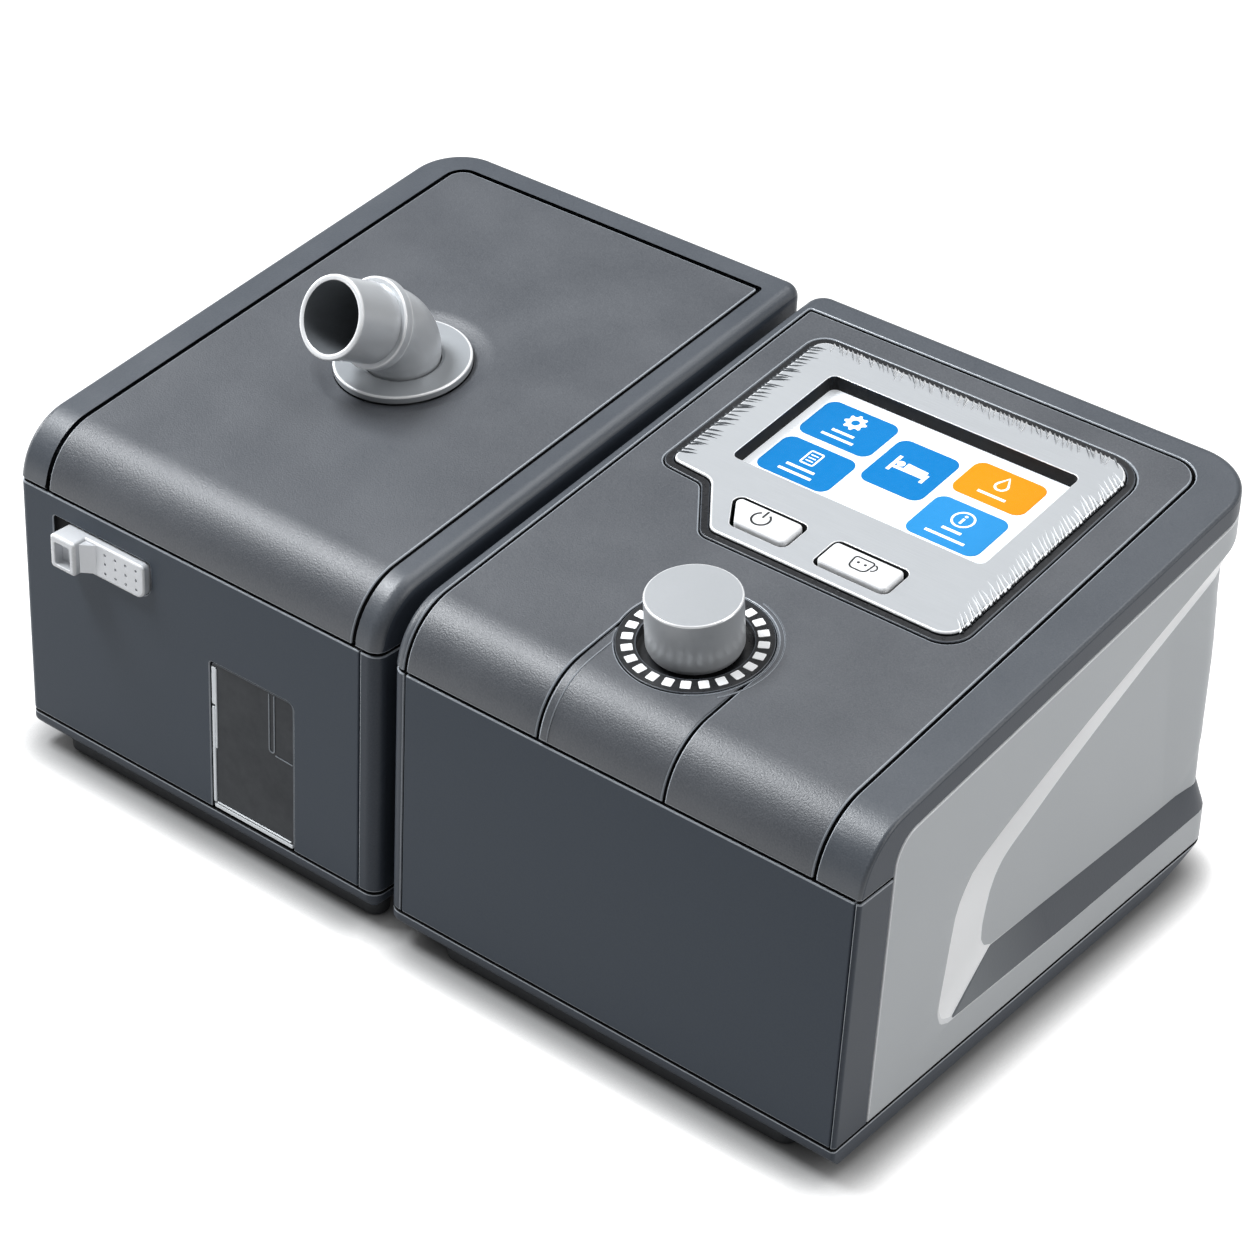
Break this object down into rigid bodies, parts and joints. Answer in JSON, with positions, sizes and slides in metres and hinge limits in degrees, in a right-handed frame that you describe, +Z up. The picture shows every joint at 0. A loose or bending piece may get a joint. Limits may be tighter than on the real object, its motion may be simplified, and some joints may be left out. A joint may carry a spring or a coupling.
{
  "type": "cpap machine",
  "caption": "Bedside breathing machine: main unit with screen, buttons, dial knob and blower, docked to a heated humidifier with a hinged lid, side latch and swivel hose elbow.",
  "frame": {"origin": "middle of the footprint's bounding box, on the surface that the feet stand on", "axes": "+X to the machine's right seen from the front (longest side), +Y from the front to the rear, +Z up"},
  "size_m": [0.288, 0.1948, 0.15],
  "materials": {
    "casing_dark": "fine matt grain",
    "casing_top": "satin, fine eggshell grain",
    "silver_side": "satin silver paint",
    "grip_grey": "matt",
    "black_trim": "matt black",
    "bezel_silver": "brushed silver",
    "clear_window": "clear plastic",
    "screen_face": "lit display",
    "circuit_board": "solder mask",
    "steel": "bright steel",
    "mark_white": "white, smooth",
    "pale_plastic": "smooth moulded",
    "motor_metal": "turned",
    "foam": "open-cell foam",
    "knob_silver": "satin silver paint",
    "heater_metal": "machined",
    "hose_silver": "satin silver-grey",
    "latch_silver": "satin silver paint",
    "gasket_rubber": "soft silicone"
  },
  "bodies": {
    "main_unit": {"main_base": "casing_dark", "main_front": "casing_dark", "main_housing": "casing_dark", "top_rim": "casing_top", "top_cover": "casing_top", "knob_strip": "casing_top", "side_panel": "silver_side", "side_insert": "grip_grey", "screen_tray": "black_trim", "screen_bezel": "bezel_silver", "screen_lens": "clear_window", "lcd_module": "screen_face", "display_board": "circuit_board", "button_switches": "black_trim", "encoder": "steel", "dial_ring": "black_trim", "dial_marks": "mark_white", "main_board": "circuit_board", "blower_volute": "pale_plastic", "blower_lid": "pale_plastic", "blower_motor": "motor_metal", "motor_bearings": "steel", "blower_mounts": "black_trim", "inlet_muffler": "foam", "air_filter": "foam", "outlet_port": "pale_plastic", "coupling_seal": "black_trim", "power_inlet": "black_trim", "dock_socket": "black_trim", "main_feet": "black_trim", "main_screws": "steel"},
    "filter_door": {"filter_cover": "casing_dark"},
    "power_key": {"power_button": "mark_white"},
    "mode_key": {"mode_button": "mark_white"},
    "knob_plunger": {"encoder_plunger": "mark_white"},
    "dial_knob": {"knob": "knob_silver", "knob_shaft": "steel"},
    "rotor": {"impeller": "pale_plastic", "motor_shaft": "steel"},
    "humidifier": {"humidifier_base": "casing_dark", "humidifier_front": "casing_dark", "humidifier_housing": "casing_dark", "water_window": "clear_window", "water_tub": "clear_window", "tub_heat_plate": "heater_metal", "heater_plate": "heater_metal", "heater_insulator": "pale_plastic", "air_inlet_port": "pale_plastic", "dock_plug": "black_trim", "hinge_pins": "steel", "humidifier_feet": "black_trim", "humidifier_screws": "steel", "latch_spring": "steel"},
    "latch_slider": {"latch": "latch_silver"},
    "humidifier_lid": {"lid_rim": "casing_top", "lid_panel": "casing_top", "lid_liner": "pale_plastic", "lid_gasket": "gasket_rubber", "outlet_flange": "hose_silver"},
    "elbow": {"outlet_elbow": "hose_silver"}
  },
  "joints": [
    {"name": "humidifier_slide", "type": "slide", "parent": "main_unit", "child": "humidifier", "axis": [-1, 0, 0], "range_m": [0, 0.04]},
    {"name": "lid_hinge", "type": "hinge", "parent": "humidifier", "child": "humidifier_lid", "pos_m": [-0.078, 0.09438, 0.0867], "axis": [-1, 0, 0], "range_deg": [0, 95]},
    {"name": "elbow_swivel", "type": "hinge", "parent": "humidifier_lid", "child": "elbow", "pos_m": [-0.0784, -0.00462, 0.1163], "axis": [0, -0.1416, 0.9899], "continuous": true},
    {"name": "latch_slide", "type": "slide", "parent": "humidifier", "child": "latch_slider", "axis": [-1, 0, 0], "range_m": [0, 0.004], "stiffness_N_per_m": 250, "springref_m": -0.002},
    {"name": "power_press", "type": "slide", "parent": "main_unit", "child": "power_key", "axis": [0, 0.1416, -0.9899], "range_m": [0, 0.0008], "stiffness_N_per_m": 700, "springref_m": -0.0005},
    {"name": "mode_press", "type": "slide", "parent": "main_unit", "child": "mode_key", "axis": [0, 0.1416, -0.9899], "range_m": [0, 0.0008], "stiffness_N_per_m": 700, "springref_m": -0.0005},
    {"name": "knob_push", "type": "slide", "parent": "main_unit", "child": "knob_plunger", "axis": [0, 0.1416, -0.9899], "range_m": [0, 0.0008], "stiffness_N_per_m": 1500, "springref_m": -0.0008},
    {"name": "knob_turn", "type": "hinge", "parent": "knob_plunger", "child": "dial_knob", "pos_m": [0.0642, -0.05343, 0.10932], "axis": [0, -0.1416, 0.9899], "continuous": true},
    {"name": "impeller_spin", "type": "hinge", "parent": "main_unit", "child": "rotor", "pos_m": [0.068, 0.02138, 0.06], "axis": [0, 0, 1], "continuous": true},
    {"name": "filter_cover_pull", "type": "slide", "parent": "main_unit", "child": "filter_door", "axis": [0, 1, 0], "range_m": [0, 0.015]}
  ]
}
